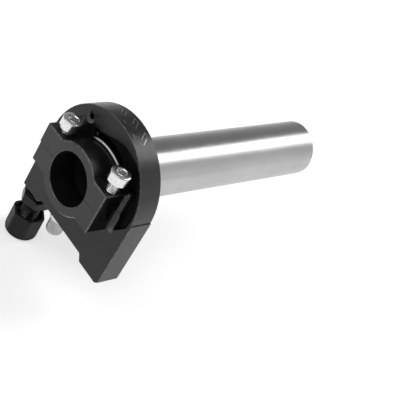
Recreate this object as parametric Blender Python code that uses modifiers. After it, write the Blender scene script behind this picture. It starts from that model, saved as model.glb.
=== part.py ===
"""Quick-action motorcycle throttle: a split clamp housing, a cable drum on an aluminium grip tube, its
return spring, a travel stop and a barrel adjuster for the cable.

The origin is the centre of the handlebar bore on the clamp's inboard face. +X runs along the bar towards
its free end, +Z is the direction the clamp screws' heads point, and +Y is the cable's side. Metres.
Lengths below are in millimetres and go through mm() where they are used.
"""

import math

import bmesh
import bpy
from mathutils import Matrix, Vector

# ---------------------------------------------------------------- driving dimensions, mm and degrees
BAR_BORE_R = 11.1            # a 22.2 mm handlebar
CLAMP_DEPTH = 11.7           # clamp boss, along the bar
BARREL_R = 15.2              # clamp boss round the bar
EAR_REAR = 20.0              # clamp ears, from the bar's axis
EAR_FRONT_UPPER = 21.8
EAR_FRONT_LOWER = 21.3
EAR_TOP = 10.1
EAR_BOTTOM_REAR = -9.8
EAR_BOTTOM_FRONT = -8.8
EAR_FILLET = 2.0
SPLIT_UP = 0.6               # middle of the gap between the two halves of the housing
SPLIT_GAP = 0.3

DISC_R = 28.75               # upper half of the drum housing
DISC_DEPTH = 10.8
LOWER_REAR = 29.2            # side walls and floor of the lower half
LOWER_FRONT = 29.0
LOWER_FLOOR = -33.2
FRONT_FLOOR = -32.4          # the floor under the cable's side
FLOOR_RELIEF = -30.2
RELIEF_REAR = 14.0
RELIEF_FRONT = 16.3
RELIEF_RAMP = 2.0
CORNER_CHAMFER = 1.6

CAVITY_R = 26.0              # room for the drum inside the housing
INBOARD_WALL = 1.8
OUTBOARD_WALL = 1.3
TUBE_HOLE_R = 12.85

SCREW_SIDE = 16.3            # the two clamp screws, M5
SCREW_HEAD_R = 4.25
SCREW_HEAD_H = 4.6
SCREW_SHANK_R = 2.45
SCREW_HOLE_R = 2.8
SCREW_LENGTH = 19.5
SCREW_LIFT_FRONT = 1.6       # how far each screw's head stands off its ear
SCREW_LIFT_REAR = 4.4
SOCKET_R = 2.3
SOCKET_DEPTH = 2.6

TUBE_R = 12.5                # the grip tube
TUBE_BORE_R = 11.45
TUBE_START = 12.9
TUBE_END = 139.4
FLANGE_R = 25.3
FLANGE_DEPTH = 1.7

DRUM_R = 25.3
DRUM_START = 13.95
GROOVE_X = 17.1              # the cable's plane, the middle of the housing
GROOVE_R = 22.2
GROOVE_HALF = 1.0
CABLE_R = 23.2               # radius the cable leaves the drum at
NIPPLE_ANGLE = 122.0         # cable nipple's seat, closed throttle
NIPPLE_SEAT_R = 22.3
NIPPLE_POCKET_R = 2.45
SIGHT_HOLE = (-14.4, 18.8)   # countersunk hole over the nipple's seat, (rear, up)
SIGHT_HOLE_R = 1.3
SIGHT_MOUTH_R = 2.7
SIGHT_DEPTH = 0.9
SPRING_POCKET = (15.0, 17.4)
SPRING_POCKET_END = 17.8
THROTTLE_TRAVEL = 75.0

SPRING_R = 16.0
SPRING_WIRE_R = 0.6
SPRING_TIP_ANGLE = 118.0     # fixed end, on the outside of the housing
SPRING_LEG_ANGLE = -230.0    # end that the drum carries round
SPRING_LEG_R = 17.9
LEG_SLOT_R = 18.6

DRUM_SCREW_CIRCLE = 19.9
DRUM_SCREW_R = 0.95
DRUM_SCREW_HEAD_R = 1.9

STOP_SIDE = 6.6              # travel stop screw, on the +Y side of the bar's axis
STOP_X = 16.3
STOP_SHANK_R = 2.4
STOP_TIP_R = 1.7
STOP_TIP_Z = -21.7
STOP_SLOT_R = 21.0
STOP_HEAD_R = 3.7
STOP_HEAD_END = -39.6

ADJUSTER_Y = CABLE_R
STUD_R = 4.0                 # M8 x 1.25
STUD_BORE_R = 1.5
STUD_HOLE_R = 4.3
STUD_TOP = -22.5
THREAD_PITCH = 1.25
THREAD_DEPTH = 0.65
THREAD_TOP = -35.0           # the thread is cut below this, plain above it
NUT_FLATS = 12.3
NUT_TURN = 21.8              # where the nut stands at rest
NUT_TOP = -34.15
NUT_BOTTOM = -38.4
WASHER_TOP = -33.4
WASHER_H = 0.5
WASHER_R = 5.6
KNOB_TOP = -44.8
KNOB_END = -56.4
KNOB_R = 7.4
KNOB_NOSE = 1.5              # rounding of the knob's lower edge
KNOB_FLATS = 6
KNOB_FLAT_DEPTH = 0.7
KNOB_MOUTH_R = 6.0           # recess round the stud
KNOB_MOUTH_DEPTH = 2.6
STUD_GRIP = 4.3              # how far the stud reaches into the knob
FERRULE_R = 3.4
FERRULE_TOP = -50.2

SEGMENTS = 72                # facets round a full circle of the housing, drum and tube
SMALL_SEGMENTS = 32
HOUSING_SOLVER = "MANIFOLD"  # the exact solver loses the housing's halves

DISC_START = CLAMP_DEPTH
DISC_END = CLAMP_DEPTH + DISC_DEPTH
CAVITY_START = DISC_START + INBOARD_WALL
CAVITY_END = DISC_END - OUTBOARD_WALL
FLANGE_END = CAVITY_END - 0.6
FLANGE_START = FLANGE_END - FLANGE_DEPTH
DRUM_END = FLANGE_START - 0.2
SCREW_X = CLAMP_DEPTH / 2

# outline of the opening in the inboard face, as (rear, up) from the bar's axis, from the front ear
# over the top to the rear rim
WINDOW_FRONT = [(-20.9, 10.4), (-21.0, 11.6)]
WINDOW_FRONT_R = 24.0
WINDOW_TOP = [(-9.3, 17.8), (-5.5, 18.7), (0.0, 21.0), (4.0, 22.6), (8.1, 23.4), (12.5, 22.9)]
WINDOW_RIM_R = 27.7
WINDOW_BOTTOM = [(22.1, -8.5), (22.1, -1.5)]
LAND_SIDE = 21.3             # strip of face left beside the rear ear
WINDOW_SPLIT_ANGLE = 124.0   # the opening is a shallow pocket on the front side of this angle
POCKET_DEPTH = 1.2


def mm(value):
    return value / 1000.0


def reset_scene():
    for obj in list(bpy.data.objects):
        bpy.data.objects.remove(obj, do_unlink=True)
    for block in (bpy.data.meshes, bpy.data.curves, bpy.data.materials):
        for item in list(block):
            block.remove(item)
    parts = bpy.data.collections.new("throttle_grip")
    cutters = bpy.data.collections.new("cutters")
    bpy.context.scene.collection.children.link(parts)
    bpy.context.scene.collection.children.link(cutters)
    return parts, cutters


def material(name, colour, metallic, roughness):
    """A Principled material, made once for each name."""
    made = bpy.data.materials.get(name)
    if made is None:
        made = bpy.data.materials.new(name)
        made.use_nodes = True
        shader = made.node_tree.nodes["Principled BSDF"]
        shader.inputs["Base Color"].default_value = (*colour, 1.0)
        shader.inputs["Metallic"].default_value = metallic
        shader.inputs["Roughness"].default_value = roughness
    return made


def black_anodised():
    return material("black_anodised", (0.03, 0.03, 0.032), 0.6, 0.38)


def bare_aluminium():
    return material("bare_aluminium", (0.72, 0.72, 0.73), 1.0, 0.3)


def chrome():
    return material("chrome", (0.8, 0.8, 0.82), 1.0, 0.12)


def spring_steel():
    return material("spring_steel", (0.6, 0.6, 0.6), 1.0, 0.25)


def black_plastic():
    return material("black_plastic", (0.02, 0.02, 0.022), 0.0, 0.42)


def white_nylon():
    return material("white_nylon", (0.78, 0.77, 0.72), 0.0, 0.45)


# ---------------------------------------------------------------- shape helpers
def polar(radius, degrees):
    angle = math.radians(degrees)
    return radius * math.cos(angle), radius * math.sin(angle)


def arc(radius, start, end, step=360.0 / SEGMENTS, centre=(0.0, 0.0)):
    """Points on an arc, both ends included."""
    count = max(1, math.ceil(abs(end - start) / step))
    points = []
    for index in range(count + 1):
        across, up = polar(radius, start + (end - start) * index / count)
        points.append((centre[0] + across, centre[1] + up))
    return points


def link(obj, collection):
    collection.objects.link(obj)
    return obj


def mesh_object(name, mesh, collection):
    return link(bpy.data.objects.new(name, mesh), collection)


def finish_part(obj, surface, smooth_angle=35.0):
    obj.data.materials.clear()
    obj.data.materials.append(surface)
    obj.data.shade_smooth()
    obj.data.set_sharp_from_angle(angle=math.radians(smooth_angle))
    return obj


def as_cutter(obj):
    obj.hide_render = True
    obj.display_type = "WIRE"
    return obj


def curve_to_mesh(name, curve_obj, collection):
    """Replace a curve object by a welded mesh object in the same place."""
    bpy.context.view_layer.update()
    depsgraph = bpy.context.evaluated_depsgraph_get()
    mesh = bpy.data.meshes.new_from_object(curve_obj.evaluated_get(depsgraph))
    bm = bmesh.new()
    bm.from_mesh(mesh)
    bmesh.ops.remove_doubles(bm, verts=bm.verts, dist=mm(0.001))
    bmesh.ops.recalc_face_normals(bm, faces=bm.faces)
    bm.to_mesh(mesh)
    bm.free()
    made = mesh_object(name, mesh, collection)
    made.matrix_world = curve_obj.matrix_world.copy()
    curve = curve_obj.data
    bpy.data.objects.remove(curve_obj, do_unlink=True)
    bpy.data.curves.remove(curve)
    mesh.transform(made.matrix_world)
    made.matrix_world = Matrix.Identity(4)
    return made


def slab(name, outline, start, end, collection):
    """A flat outline of (rear, up) points, solid between two places along the bar."""
    curve = bpy.data.curves.new(name + "_outline", "CURVE")
    curve.dimensions = "2D"
    curve.fill_mode = "BOTH"
    curve.extrude = mm(end - start) / 2
    spline = curve.splines.new("POLY")
    spline.points.add(len(outline) - 1)
    for point, (rear, up) in zip(spline.points, outline):
        point.co = (mm(rear), mm(up), 0.0, 1.0)
    spline.use_cyclic_u = True
    flat = link(bpy.data.objects.new(name + "_curve", curve), collection)
    flat.matrix_world = Matrix(((0, 0, -1, mm(start + end) / 2), (-1, 0, 0, 0), (0, 1, 0, 0), (0, 0, 0, 1)))
    return curve_to_mesh(name, flat, collection)


def turned(name, profile, collection, along="X", centre=(0.0, 0.0, 0.0), segments=SEGMENTS):
    """Turn a closed profile of (radius, place along the axis) points about an axis through centre."""
    mesh = bpy.data.meshes.new(name)
    bm = bmesh.new()
    corners = [bm.verts.new((mm(radius), 0.0, mm(place))) for radius, place in profile]
    for first, second in zip(corners, corners[1:] + corners[:1]):
        bm.edges.new((first, second))
    bm.to_mesh(mesh)
    bm.free()
    made = mesh_object(name, mesh, collection)
    screw = made.modifiers.new("turn", "SCREW")
    screw.steps = segments
    screw.render_steps = segments
    screw.use_merge_vertices = True
    screw.merge_threshold = 0.00001
    apply_modifiers(made)
    bm = bmesh.new()
    bm.from_mesh(made.data)
    bmesh.ops.remove_doubles(bm, verts=bm.verts, dist=mm(0.001))
    bmesh.ops.recalc_face_normals(bm, faces=bm.faces)
    bm.to_mesh(made.data)
    bm.free()
    turn = Matrix.Rotation(math.radians(90.0), 4, "Y") if along == "X" else Matrix.Identity(4)
    place = Matrix.Translation(Vector([mm(value) for value in centre]))
    made.data.transform(place @ turn)
    return made


def rod(name, radius, start, end, collection, along="X", centre=(0.0, 0.0, 0.0), segments=SEGMENTS):
    """A solid cylinder between two places along an axis through centre."""
    bm = bmesh.new()
    bmesh.ops.create_cone(
        bm, cap_ends=True, segments=segments, radius1=mm(radius), radius2=mm(radius), depth=mm(end - start)
    )
    mesh = bpy.data.meshes.new(name)
    bm.to_mesh(mesh)
    bm.free()
    middle = mm(start + end) / 2
    offset = Vector([mm(value) for value in centre])
    turn = Matrix.Identity(4)
    if along == "X":
        turn = Matrix.Rotation(math.radians(90.0), 4, "Y")
        offset.x += middle
    else:
        offset.z += middle
    mesh.transform(Matrix.Translation(offset) @ turn)
    return mesh_object(name, mesh, collection)


def apply_modifiers(obj):
    bpy.context.view_layer.update()
    depsgraph = bpy.context.evaluated_depsgraph_get()
    mesh = bpy.data.meshes.new_from_object(obj.evaluated_get(depsgraph))
    old = obj.data
    obj.modifiers.clear()
    obj.data = mesh
    bpy.data.meshes.remove(old)
    return obj


def combine(obj, other, operation, solver="EXACT"):
    """One Boolean, applied, after which the other object is gone."""
    as_cutter(other)
    boolean = obj.modifiers.new(operation.lower(), "BOOLEAN")
    boolean.operation = operation
    boolean.solver = solver
    boolean.object = other
    apply_modifiers(obj)
    bpy.data.objects.remove(other, do_unlink=True)
    return obj


def cut(obj, *others, solver="EXACT"):
    for other in others:
        combine(obj, other, "DIFFERENCE", solver)
    return obj


def join(obj, *others, solver="EXACT"):
    for other in others:
        combine(obj, other, "UNION", solver)
    return obj


# ---------------------------------------------------------------- housing
UPPER_FACE = SPLIT_UP + SPLIT_GAP / 2
LOWER_FACE = SPLIT_UP - SPLIT_GAP / 2


def ear_outline(half, face, level):
    """One ear and its fillet into the barrel, as if it were on the rear, and where the fillet ends."""
    reach = BARREL_R + EAR_FILLET
    centre_up = level + EAR_FILLET
    centre_across = math.sqrt(reach * reach - centre_up * centre_up)
    lean = math.degrees(math.atan2(centre_up, centre_across))
    fillet = arc(EAR_FILLET, -90.0, lean - 180.0, 15.0, (centre_across, centre_up))
    return [(half, face), (half, level)] + fillet, lean


def boss_outline(upper):
    """Clamp boss, half of it: a half-round barrel with an ear on each side."""
    turn = 1.0 if upper else -1.0
    face = turn * (UPPER_FACE if upper else LOWER_FACE)
    rear_level = EAR_TOP if upper else -EAR_BOTTOM_REAR
    front_level = EAR_TOP if upper else -EAR_BOTTOM_FRONT
    front_half = EAR_FRONT_UPPER if upper else EAR_FRONT_LOWER
    rear, rear_lean = ear_outline(EAR_REAR, face, rear_level)
    front, front_lean = ear_outline(front_half, face, front_level)
    crown = arc(BARREL_R, rear_lean, 180.0 - front_lean)[1:-1]
    front = [(-across, up) for across, up in reversed(front)]
    return [(across, turn * up) for across, up in rear + crown + front]


def upper_disc_outline():
    lift = math.degrees(math.asin(UPPER_FACE / DISC_R))
    return arc(DISC_R, lift, 180.0 - lift)


def lower_disc_outline():
    top = LOWER_FACE
    ramp_end = -RELIEF_FRONT - RELIEF_RAMP * (FLOOR_RELIEF - FRONT_FLOOR) / (FLOOR_RELIEF - LOWER_FLOOR)
    return [
        (LOWER_REAR, top),
        (LOWER_REAR, LOWER_FLOOR + CORNER_CHAMFER),
        (LOWER_REAR - CORNER_CHAMFER, LOWER_FLOOR),
        (RELIEF_REAR + RELIEF_RAMP, LOWER_FLOOR),
        (RELIEF_REAR, FLOOR_RELIEF),
        (-RELIEF_FRONT, FLOOR_RELIEF),
        (ramp_end, FRONT_FLOOR),
        (-LOWER_FRONT, FRONT_FLOOR),
        (-LOWER_FRONT, top),
    ]


def window_outline():
    """The whole opening of the inboard face, front ear to rear rim and back under the barrel's crown."""
    lobe_r = SIGHT_MOUTH_R + 0.7
    outline = list(WINDOW_FRONT)
    outline += arc(WINDOW_FRONT_R, 150.0, 140.0)
    outline += arc(lobe_r, 215.0, 325.0, 20.0, SIGHT_HOLE)
    outline += WINDOW_TOP
    outline += arc(WINDOW_RIM_R, 53.0, -2.7)
    outline += WINDOW_BOTTOM
    outline += [(LAND_SIDE, SPLIT_UP), (LAND_SIDE, EAR_TOP + 0.15)]
    inner = BARREL_R + 0.1
    start = math.degrees(math.asin((EAR_TOP + 0.4) / inner))
    outline += [(polar(inner, start)[0] + 0.8, EAR_TOP + 0.15)]
    outline += arc(inner, start, 180.0 - start)
    outline += [(-polar(inner, start)[0] - 0.8, EAR_TOP + 0.15)]
    return outline


def window_cutters(collection):
    """The through opening on the rear side, and a shallow pocket on the front side of it."""
    through = slab("window", window_outline(), DISC_START - 1.0, CAVITY_START + 0.2, collection)
    wedge_points = [(0.0, 0.0)] + arc(50.0, WINDOW_SPLIT_ANGLE, 200.0, 10.0)
    wedge = slab("window_front_side", wedge_points, DISC_START + POCKET_DEPTH, CAVITY_START + 1.0, collection)
    cut(through, wedge)
    return through


def screw_hole(side, collection):
    return rod(
        "screw_hole", SCREW_HOLE_R, EAR_BOTTOM_REAR - 1.0, EAR_TOP + 1.0, collection, "Z",
        (SCREW_X, -side, 0.0), SMALL_SEGMENTS,
    )


def bore_cutters(collection):
    return [
        rod("bar_bore", BAR_BORE_R, -1.0, TUBE_START, collection),
        rod("tube_hole", TUBE_HOLE_R, TUBE_START - 0.3, DISC_END + 1.0, collection),
        rod("drum_cavity", CAVITY_R, CAVITY_START, CAVITY_END, collection),
    ]


def housing_upper(parts, cutters):
    body = slab("housing_upper", upper_disc_outline(), DISC_START, DISC_END, parts)
    boss = slab("boss", boss_outline(True), 0.0, DISC_START + 1.0, cutters)
    join(body, boss, solver=HOUSING_SOLVER)
    cut(body, *bore_cutters(cutters), window_cutters(cutters), solver=HOUSING_SOLVER)
    across, up = SIGHT_HOLE
    slope = (SIGHT_MOUTH_R - SIGHT_HOLE_R) / SIGHT_DEPTH
    sight_profile = [
        (0.0, DISC_START - 0.5), (SIGHT_MOUTH_R + 0.5 * slope, DISC_START - 0.5),
        (SIGHT_HOLE_R, DISC_START + SIGHT_DEPTH), (SIGHT_HOLE_R, CAVITY_START + 0.5),
        (0.0, CAVITY_START + 0.5),
    ]
    sight_hole = turned("sight_hole", sight_profile, cutters, "X", (0.0, -across, up), SMALL_SEGMENTS)
    holes = (sight_hole, screw_hole(SCREW_SIDE, cutters), screw_hole(-SCREW_SIDE, cutters))
    cut(body, *holes, solver=HOUSING_SOLVER)
    return finish_part(body, black_anodised())


def housing_lower(parts, cutters):
    body = slab("housing_lower", lower_disc_outline(), DISC_START, DISC_END, parts)
    boss = slab("boss", boss_outline(False), 0.0, DISC_START + 1.0, cutters)
    join(body, boss, solver=HOUSING_SOLVER)
    cut(body, *bore_cutters(cutters), window_cutters(cutters), solver=HOUSING_SOLVER)
    stud_hole = rod(
        "stud_hole", STUD_HOLE_R, LOWER_FLOOR - 1.0, -8.0, cutters, "Z",
        (GROOVE_X, ADJUSTER_Y, 0.0), SMALL_SEGMENTS,
    )
    stop_hole = rod(
        "stop_hole", STOP_SHANK_R + 0.3, LOWER_FLOOR - 1.0, -24.0, cutters, "Z",
        (STOP_X, STOP_SIDE, 0.0), SMALL_SEGMENTS,
    )
    holes = (stud_hole, stop_hole, screw_hole(SCREW_SIDE, cutters), screw_hole(-SCREW_SIDE, cutters))
    cut(body, *holes, solver=HOUSING_SOLVER)
    return finish_part(body, black_anodised())


# ---------------------------------------------------------------- screws
def clamp_screw(name, side, lift, parts, cutters):
    """M5 socket head screw, its head up, through one pair of ears."""
    seat = EAR_TOP + lift
    top = seat + SCREW_HEAD_H
    profile = [
        (0.0, top), (SCREW_HEAD_R - 0.6, top), (SCREW_HEAD_R, top - 0.6), (SCREW_HEAD_R, seat + 0.2),
        (SCREW_HEAD_R - 0.2, seat), (SCREW_SHANK_R, seat), (SCREW_SHANK_R, top - SCREW_LENGTH - 4.4),
        (SCREW_SHANK_R - 0.7, top - SCREW_LENGTH - SCREW_HEAD_H), (0.0, top - SCREW_LENGTH - SCREW_HEAD_H),
    ]
    centre = (SCREW_X, -side, 0.0)
    screw = turned(name, profile, parts, "Z", centre, SMALL_SEGMENTS)
    socket = rod("socket", SOCKET_R, top - SOCKET_DEPTH, top + 1.0, cutters, "Z", centre, 6)
    cut(screw, socket)
    return finish_part(screw, chrome())


def drum_screws(parts):
    """Three countersunk screws that hold the tube's flange to the drum."""
    screws = []
    for index in range(3):
        across, up = polar(DRUM_SCREW_CIRCLE, 60.0 + 120.0 * index)
        profile = [
            (0.0, FLANGE_END - 0.1), (DRUM_SCREW_HEAD_R, FLANGE_END - 0.1),
            (DRUM_SCREW_R, FLANGE_END - 1.05), (DRUM_SCREW_R, DRUM_START + 1.2), (0.0, DRUM_START + 1.2),
        ]
        name = f"drum_screw_{index + 1}"
        screw = turned(name, profile, parts, "X", (0.0, -across, up), 20)
        screws.append(finish_part(screw, spring_steel()))
    return screws


def drum_screw_cutters(collection, clearance):
    cutters = []
    for index in range(3):
        across, up = polar(DRUM_SCREW_CIRCLE, 60.0 + 120.0 * index)
        profile = [
            (0.0, FLANGE_END + 0.5), (DRUM_SCREW_HEAD_R + 0.5 + clearance, FLANGE_END + 0.5),
            (DRUM_SCREW_R + clearance, FLANGE_END - 1.05), (DRUM_SCREW_R + clearance, DRUM_START + 0.9),
            (0.0, DRUM_START + 0.9),
        ]
        cutters.append(turned("drum_screw_hole", profile, collection, "X", (0.0, -across, up), 20))
    return cutters


# ---------------------------------------------------------------- moving grip
def throttle_tube(parts, cutters):
    profile = [
        (TUBE_BORE_R, TUBE_START), (TUBE_R, TUBE_START), (TUBE_R, FLANGE_START), (FLANGE_R, FLANGE_START),
        (FLANGE_R, FLANGE_END), (TUBE_R, FLANGE_END), (TUBE_R, TUBE_END - 0.3), (TUBE_R - 0.3, TUBE_END),
        (TUBE_BORE_R, TUBE_END),
    ]
    tube = turned("throttle_tube", profile, parts)
    cut(tube, *drum_screw_cutters(cutters, 0.25))
    return finish_part(tube, bare_aluminium())


def cable_drum(parts, cutters):
    hub = TUBE_R + 0.2
    profile = [
        (hub, DRUM_START), (SPRING_POCKET[0], DRUM_START), (SPRING_POCKET[0], SPRING_POCKET_END),
        (SPRING_POCKET[1], SPRING_POCKET_END), (SPRING_POCKET[1], DRUM_START), (DRUM_R, DRUM_START),
        (DRUM_R, GROOVE_X - GROOVE_HALF - 0.4), (GROOVE_R, GROOVE_X - GROOVE_HALF),
        (GROOVE_R, GROOVE_X + GROOVE_HALF), (DRUM_R - 0.6, DRUM_END), (hub, DRUM_END),
    ]
    drum = turned("cable_drum", profile, parts)
    across, up = polar(NIPPLE_SEAT_R, NIPPLE_ANGLE)
    pocket = rod(
        "nipple_pocket", NIPPLE_POCKET_R, DRUM_START - 1.0, DRUM_END + 1.0, cutters, "X",
        (0.0, -across, up), SMALL_SEGMENTS,
    )
    stop_angle = math.degrees(math.atan2(-24.0, -STOP_SIDE)) % 360.0
    stop_slot = slab(
        "stop_slot",
        arc(DRUM_R + 2.0, stop_angle - 6.0, stop_angle + THROTTLE_TRAVEL + 6.0)
        + arc(STOP_SLOT_R, stop_angle + THROTTLE_TRAVEL + 6.0, stop_angle - 6.0),
        DRUM_START - 1.0, DRUM_END + 1.0, cutters,
    )
    leg = SPRING_LEG_ANGLE % 360.0
    leg_slot = slab(
        "leg_slot",
        arc(LEG_SLOT_R, leg - 4.0, leg + THROTTLE_TRAVEL + 4.0)
        + arc(SPRING_POCKET[1] - 0.5, leg + THROTTLE_TRAVEL + 4.0, leg - 4.0),
        DRUM_START - 1.0, SPRING_POCKET_END - 0.3, cutters,
    )
    cut(drum, pocket, stop_slot, leg_slot, *drum_screw_cutters(cutters, 0.25))
    return finish_part(drum, black_anodised())


def thrust_washer(parts):
    start = FLANGE_END + 0.15
    end = CAVITY_END - 0.15
    profile = [(TUBE_R + 0.4, start), (CAVITY_R - 2.0, start), (CAVITY_R - 2.0, end), (TUBE_R + 0.4, end)]
    return finish_part(turned("thrust_washer", profile, parts), white_nylon())


# ---------------------------------------------------------------- return spring
def spring_place(degrees):
    """How far along the bar the spring wire's centre is at an angle of the winding."""
    knots = [
        (118.0, 11.3), (95.0, 11.5), (75.0, 12.0), (58.0, 12.9), (44.0, 14.5), (SPRING_LEG_ANGLE, 15.9),
    ]
    for (from_angle, from_x), (to_angle, to_x) in zip(knots, knots[1:]):
        if degrees >= to_angle:
            share = (from_angle - degrees) / (from_angle - to_angle)
            return from_x + (to_x - from_x) * share
    return knots[-1][1]


def return_spring(parts):
    """Torsion spring: its fixed end shows in the housing's window, the rest lies round the drum's hub."""
    step = 6.0
    count = round((SPRING_TIP_ANGLE - SPRING_LEG_ANGLE) / step)
    route = []
    for index in range(count + 1):
        degrees = SPRING_TIP_ANGLE - step * index
        across, up = polar(SPRING_R, degrees)
        route.append((spring_place(degrees), -across, up))
    across, up = polar(SPRING_LEG_R, SPRING_LEG_ANGLE)
    route.append((spring_place(SPRING_LEG_ANGLE), -across, up))
    curve = bpy.data.curves.new("return_spring_route", "CURVE")
    curve.dimensions = "3D"
    curve.bevel_depth = mm(SPRING_WIRE_R)
    curve.bevel_resolution = 2
    curve.use_fill_caps = True
    spline = curve.splines.new("POLY")
    spline.points.add(len(route) - 1)
    for point, place in zip(spline.points, route):
        point.co = (*[mm(value) for value in place], 1.0)
    wire = link(bpy.data.objects.new("spring_curve", curve), parts)
    return finish_part(curve_to_mesh("return_spring", wire, parts), spring_steel())


# ---------------------------------------------------------------- travel stop
def stop_screw(parts):
    shoulder = FLOOR_RELIEF - 1.9
    profile = [
        (0.0, STOP_TIP_Z), (STOP_TIP_R, STOP_TIP_Z), (STOP_TIP_R, -26.4), (STOP_SHANK_R, -27.0),
        (STOP_SHANK_R, shoulder), (STOP_HEAD_R, shoulder), (STOP_HEAD_R, STOP_HEAD_END + 2.2),
        (STOP_HEAD_R - 0.5, STOP_HEAD_END + 1.0), (STOP_HEAD_R - 1.5, STOP_HEAD_END + 0.2),
        (STOP_HEAD_R - 2.4, STOP_HEAD_END), (0.0, STOP_HEAD_END),
    ]
    screw = turned("stop_screw", profile, parts, "Z", (STOP_X, STOP_SIDE, 0.0), SMALL_SEGMENTS)
    return finish_part(screw, chrome())


def stop_screw_nut(parts):
    top = FLOOR_RELIEF - 0.15
    bottom = FLOOR_RELIEF - 1.65
    profile = [
        (STOP_SHANK_R + 0.3, top), (STOP_HEAD_R + 0.5, top), (STOP_HEAD_R + 0.5, bottom),
        (STOP_SHANK_R + 0.3, bottom),
    ]
    nut = turned("stop_screw_nut", profile, parts, "Z", (STOP_X, STOP_SIDE, 0.0), SMALL_SEGMENTS)
    return finish_part(nut, chrome())


# ---------------------------------------------------------------- cable adjuster
def thread_profile(radius, depth, pitch, start, end):
    """Crest and root points down a thread's outer side, from start down to end."""
    points = [(radius, start)]
    place = start - 0.5
    while place - pitch > end:
        points += [(radius, place), (radius - depth, place - pitch / 2)]
        place -= pitch
    points += [(radius, place), (radius, end)]
    return points


def adjuster_screw(parts):
    """Hollow threaded stud that the knob turns."""
    bottom = KNOB_TOP - STUD_GRIP
    profile = [(STUD_BORE_R, STUD_TOP), (STUD_R - 0.5, STUD_TOP), (STUD_R, STUD_TOP - 0.5)]
    profile += thread_profile(STUD_R, THREAD_DEPTH, THREAD_PITCH, THREAD_TOP, KNOB_TOP + 0.3)
    profile += [(STUD_R, bottom), (STUD_BORE_R, bottom)]
    stud = turned("adjuster_screw", profile, parts, "Z", (GROOVE_X, ADJUSTER_Y, 0.0), 24)
    return finish_part(stud, material("black_steel", (0.03, 0.03, 0.03), 0.8, 0.3))


def adjuster_knob(parts, cutters):
    """Moulded grip on the stud's lower end, with shallow flats and a rounded nose."""
    mouth_floor = KNOB_TOP - KNOB_MOUTH_DEPTH
    socket_floor = KNOB_TOP - STUD_GRIP - 0.3
    centre = (GROOVE_X, ADJUSTER_Y, 0.0)
    nose = arc(KNOB_NOSE, 0.0, -90.0, 22.5, (KNOB_R - KNOB_NOSE, KNOB_END + KNOB_NOSE))
    profile = [
        (KNOB_MOUTH_R, mouth_floor), (KNOB_MOUTH_R, KNOB_TOP - 0.2), (KNOB_MOUTH_R + 0.2, KNOB_TOP),
        (KNOB_R - 0.3, KNOB_TOP), (KNOB_R, KNOB_TOP - 0.3), *nose,
        (FERRULE_R + 0.3, KNOB_END), (FERRULE_R + 0.3, FERRULE_TOP + 0.2), (STUD_BORE_R, FERRULE_TOP + 0.2),
        (STUD_BORE_R, socket_floor), (STUD_R + 0.3, socket_floor), (STUD_R + 0.3, mouth_floor),
    ]
    knob = turned("adjuster_knob", profile, parts, "Z", centre, 48)
    for index in range(KNOB_FLATS):
        angle = math.radians(360.0 / KNOB_FLATS * (index + 0.5))
        bm = bmesh.new()
        bmesh.ops.create_cube(bm, size=1.0)
        half = 2.0
        reach = mm(KNOB_R - KNOB_FLAT_DEPTH + half)
        sizes = (mm(2 * half), mm(KNOB_R), mm(KNOB_TOP - KNOB_END + 4.0))
        bmesh.ops.scale(bm, vec=sizes, verts=bm.verts)
        mesh = bpy.data.meshes.new("knob_flat")
        bm.to_mesh(mesh)
        bm.free()
        place = Vector((mm(GROOVE_X), mm(ADJUSTER_Y), mm(KNOB_TOP + KNOB_END) / 2))
        spin = Matrix.Rotation(angle, 4, "Z")
        mesh.transform(Matrix.Translation(place) @ spin @ Matrix.Translation((reach, 0.0, 0.0)))
        cut(knob, mesh_object("knob_flat", mesh, cutters))
    return finish_part(knob, black_plastic())


def ferrule_cup(parts):
    """Seat for the outer cable's end, which slides with the knob but doesn't turn with it."""
    top = FERRULE_TOP - 0.1
    rim = KNOB_END + 0.4
    profile = [
        (STUD_BORE_R, top), (FERRULE_R, top), (FERRULE_R, rim), (FERRULE_R - 0.6, rim),
        (FERRULE_R - 0.6, top - 1.0), (STUD_BORE_R, top - 1.0),
    ]
    cup = turned("ferrule_cup", profile, parts, "Z", (GROOVE_X, ADJUSTER_Y, 0.0), SMALL_SEGMENTS)
    return finish_part(cup, spring_steel())


def lock_nut(parts, cutters):
    """Thin hexagon nut, its corners turned off at both faces."""
    corner = NUT_FLATS / 2 / math.cos(math.radians(30.0))
    centre = (GROOVE_X, ADJUSTER_Y, 0.0)
    nut = rod("lock_nut", corner, NUT_BOTTOM, NUT_TOP, parts, "Z", centre, 6)
    axis_at = Vector([mm(value) for value in centre])
    spin = Matrix.Rotation(math.radians(NUT_TURN), 4, "Z")
    nut.data.transform(Matrix.Translation(axis_at) @ spin @ Matrix.Translation(-axis_at))
    round_off = turned(
        "nut_chamfer",
        [
            (0.0, NUT_TOP), (NUT_FLATS / 2 - 0.1, NUT_TOP), (corner + 0.2, NUT_TOP - 0.8),
            (corner + 0.2, NUT_BOTTOM + 0.8), (NUT_FLATS / 2 - 0.1, NUT_BOTTOM), (0.0, NUT_BOTTOM),
        ],
        cutters, "Z", centre, 48,
    )
    combine(nut, round_off, "INTERSECT")
    thread = rod("nut_thread", STUD_HOLE_R, NUT_BOTTOM - 1, NUT_TOP + 1, cutters, "Z", centre, SMALL_SEGMENTS)
    cut(nut, thread)
    return finish_part(nut, material("black_steel", (0.03, 0.03, 0.03), 0.8, 0.3))


def lock_washer(parts):
    profile = [
        (STUD_HOLE_R, WASHER_TOP), (WASHER_R, WASHER_TOP), (WASHER_R, WASHER_TOP - WASHER_H),
        (STUD_HOLE_R, WASHER_TOP - WASHER_H),
    ]
    washer = turned("lock_washer", profile, parts, "Z", (GROOVE_X, ADJUSTER_Y, 0.0), SMALL_SEGMENTS)
    return finish_part(washer, material("black_steel", (0.03, 0.03, 0.03), 0.8, 0.3))


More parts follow.
